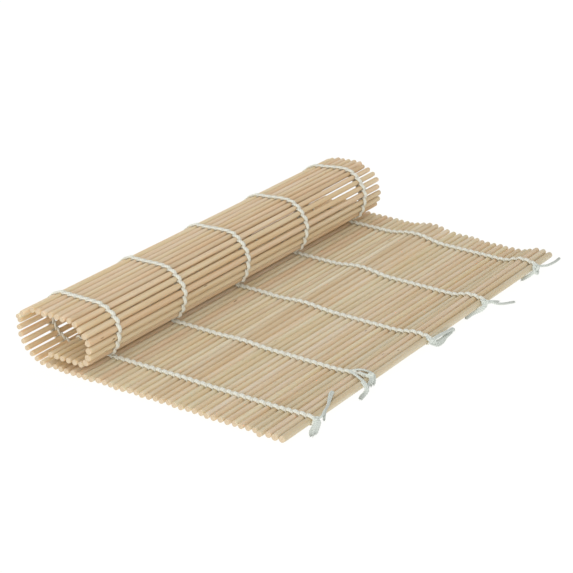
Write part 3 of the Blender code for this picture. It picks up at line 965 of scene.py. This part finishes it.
# %% Path of a pair of yarns
LEAD_STEPS = 8
LEAD_RISE = 0.3 * MM
# The phase on the edge stick where each run starts, just after it has left the knot.
OVER_START = -0.2
UNDER_START = -0.9


def lead(knot, entry):
    """Short curve between a knot and the point where a yarn leaves the edge stick."""
    point, outward = entry[:2]
    middle = point.lerp(knot, 0.5) + outward * LEAD_RISE
    places = smooth_route([knot, middle, point], LEAD_STEPS)[:-1]
    return [(place, outward, YARN_THICK, YARN_WIDE, LINE_TINT) for place in places]


def strand_parts(number, knot):
    """Path of the pair of yarns, with its outward direction, half sizes and tint."""
    phases = [math.sin(math.pi * (step / STITCH_STEPS - 0.5)) for step in range(STITCH_STEPS)]
    over = []
    under = []
    for stick in range(1, STICKS + 1):
        side = 1 if stick % 2 else -1
        over_start, under_start = (OVER_START, UNDER_START) if stick == 1 else (-1.0, -1.0)
        over += [stitch(number, stick, phase, side) for phase in phases if phase >= over_start]
        under += [stitch(number, stick, phase, -side) for phase in phases if phase >= under_start]
    round_end = stitch(number, STICKS, 1.0, 1)
    path = lead(knot, over[0]) + over + [round_end]
    back = under[::-1] + lead(knot, under[0])[::-1]
    path += [(point, -outward, *others) for point, outward, *others in back]
    return path


print("a pair of yarns follows", len(strand_parts(1, edge_place(1, KNOTS[0][1]))), "points")

# %% [markdown]
# The cut ends are added one by one to the heap of their own twine, so each line of the mat stays one
# piece with its knot and its fibres. A point of a loose end may come out just under the table top where
# a plied yarn rolls over, so all of them are lifted to a small height above it.

# %% Loose ends of a twine
LOWEST = 0.03 * MM
END_FACING = Vector((0.1, 0.1, 1))


def add_loose_ends(heap, number, draw):
    """The cut ends of one twine, each with its frayed tip."""
    for owner, half_thick, half_wide, route in LOOSE_ENDS:
        if owner == number:
            places = smooth_route([edge_place(number, point) for point in route], ROUTE_STEPS)
            thick = [half_thick * MM] * len(places)
            wide = [half_wide * MM] * len(places)
            rings, grain, _ = yarn_rings(places, carried_directions(places, END_FACING), thick, wide)
            rings[..., 2] = np.maximum(rings[..., 2], LOWEST)
            heap.add_tube(rings, grain, [shaded_tip_tint(ring / len(places)) for ring in range(len(places))])
            add_fray(heap, places[-1], (places[-1] - places[-3]).normalized(), draw)


# %% Twine pieces
FRAY_SEED = 11
KNOT_FACING = Vector((0.3, 0.2, 1))
fray_draw = random.Random(FRAY_SEED)
for number, knot_place, knot_size, knot_turn in KNOTS:
    heap = Heap()
    points, outward, thick, wide, shades = zip(*strand_parts(number, edge_place(number, knot_place)))
    rings, grain, run = yarn_rings(points, outward, thick, wide)
    heap.add_tube(rings, grain, [(*shade, 1.0) for shade in shades])
    knot = knot_points(number, knot_place, knot_size, knot_turn)
    size = [KNOT_YARN] * len(knot)
    rings, grain, _ = yarn_rings(knot, carried_directions(knot, KNOT_FACING), size, size)
    heap.add_tube(rings, grain, END_TINT)
    add_loose_ends(heap, number, fray_draw)
    twine = heap.make(f"twine_{number}", (cotton,), sharp_angle=80)
    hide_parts(f"cord_{number}")
    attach(twine, "root")
    print("twine", number, "uses", round(run, 3), "m of yarn")

# %% [markdown]
# Table and light
#
# The mat lies on a bright white table top, and shadows are faint. A plain white surface would turn grey
# wherever the lights fall off. So the table gives off most of its own brightness, which keeps it white
# up to the edge of the picture and lights the underside of the roll.

# %% Table
TABLE_HALF = 4.0
TABLE_GLOW = 0.96
table_mesh = bpy.data.meshes.new("table_top")
table_mesh.from_pydata([(-TABLE_HALF, -TABLE_HALF, 0), (TABLE_HALF, -TABLE_HALF, 0),
                        (TABLE_HALF, TABLE_HALF, 0), (-TABLE_HALF, TABLE_HALF, 0)], [], [(0, 1, 2, 3)])
table_finish, tree, shader = new_finish("white_table")
shader.inputs["Base Color"].default_value = (0.05, 0.05, 0.05, 1)
shader.inputs["Roughness"].default_value = 0.9
shader.inputs["Emission Color"].default_value = (1.0, 1.0, 0.982, 1)
shader.inputs["Emission Strength"].default_value = TABLE_GLOW
table_mesh.materials.append(table_finish)
table = bpy.data.objects.new("table_top", table_mesh)
bpy.context.scene.collection.objects.link(table)
print("table top is", 2 * TABLE_HALF, "m wide")

# %% [markdown]
# The room is even and white, and gives most of the light. A soft light from above and behind, a large one
# in front and a low one that shines into the roll's open end add the little direction that the picture
# has. They are squares and not points, so the shadows they cast have no hard edges.

# %% Lights and picture
ROOM_LIGHT = 0.71


def soft_light(name, place, aim, size, watts):
    """Square light at a place, turned towards the point aim."""
    data = bpy.data.lights.new(name, "AREA")
    data.shape = "SQUARE"
    data.size = size
    data.energy = watts
    light = bpy.data.objects.new(name, data)
    light.location = place
    light.rotation_euler = (Vector(aim) - Vector(place)).to_track_quat("-Z", "Y").to_euler()
    bpy.context.scene.collection.objects.link(light)


soft_light("top_back", (-0.5, 0.7, 1.3), (0, 0, 0), 0.9, 1.0)
soft_light("front_fill", (0.6, -1.4, 0.45), (0, 0, 0), 1.0, 7.0)
soft_light("low_front", (-0.1, -1.3, 0.12), (-0.03, 0, 0.02), 0.5, 3.0)
world = bpy.data.worlds.new("pale_room")
world.use_nodes = True
world.node_tree.nodes["Background"].inputs["Color"].default_value = (1, 1, 1, 1)
world.node_tree.nodes["Background"].inputs["Strength"].default_value = ROOM_LIGHT
bpy.context.scene.world = world
bpy.context.scene.view_settings.view_transform = "Standard"
print("soft lights:", len(bpy.data.lights), "in a room of strength", ROOM_LIGHT)
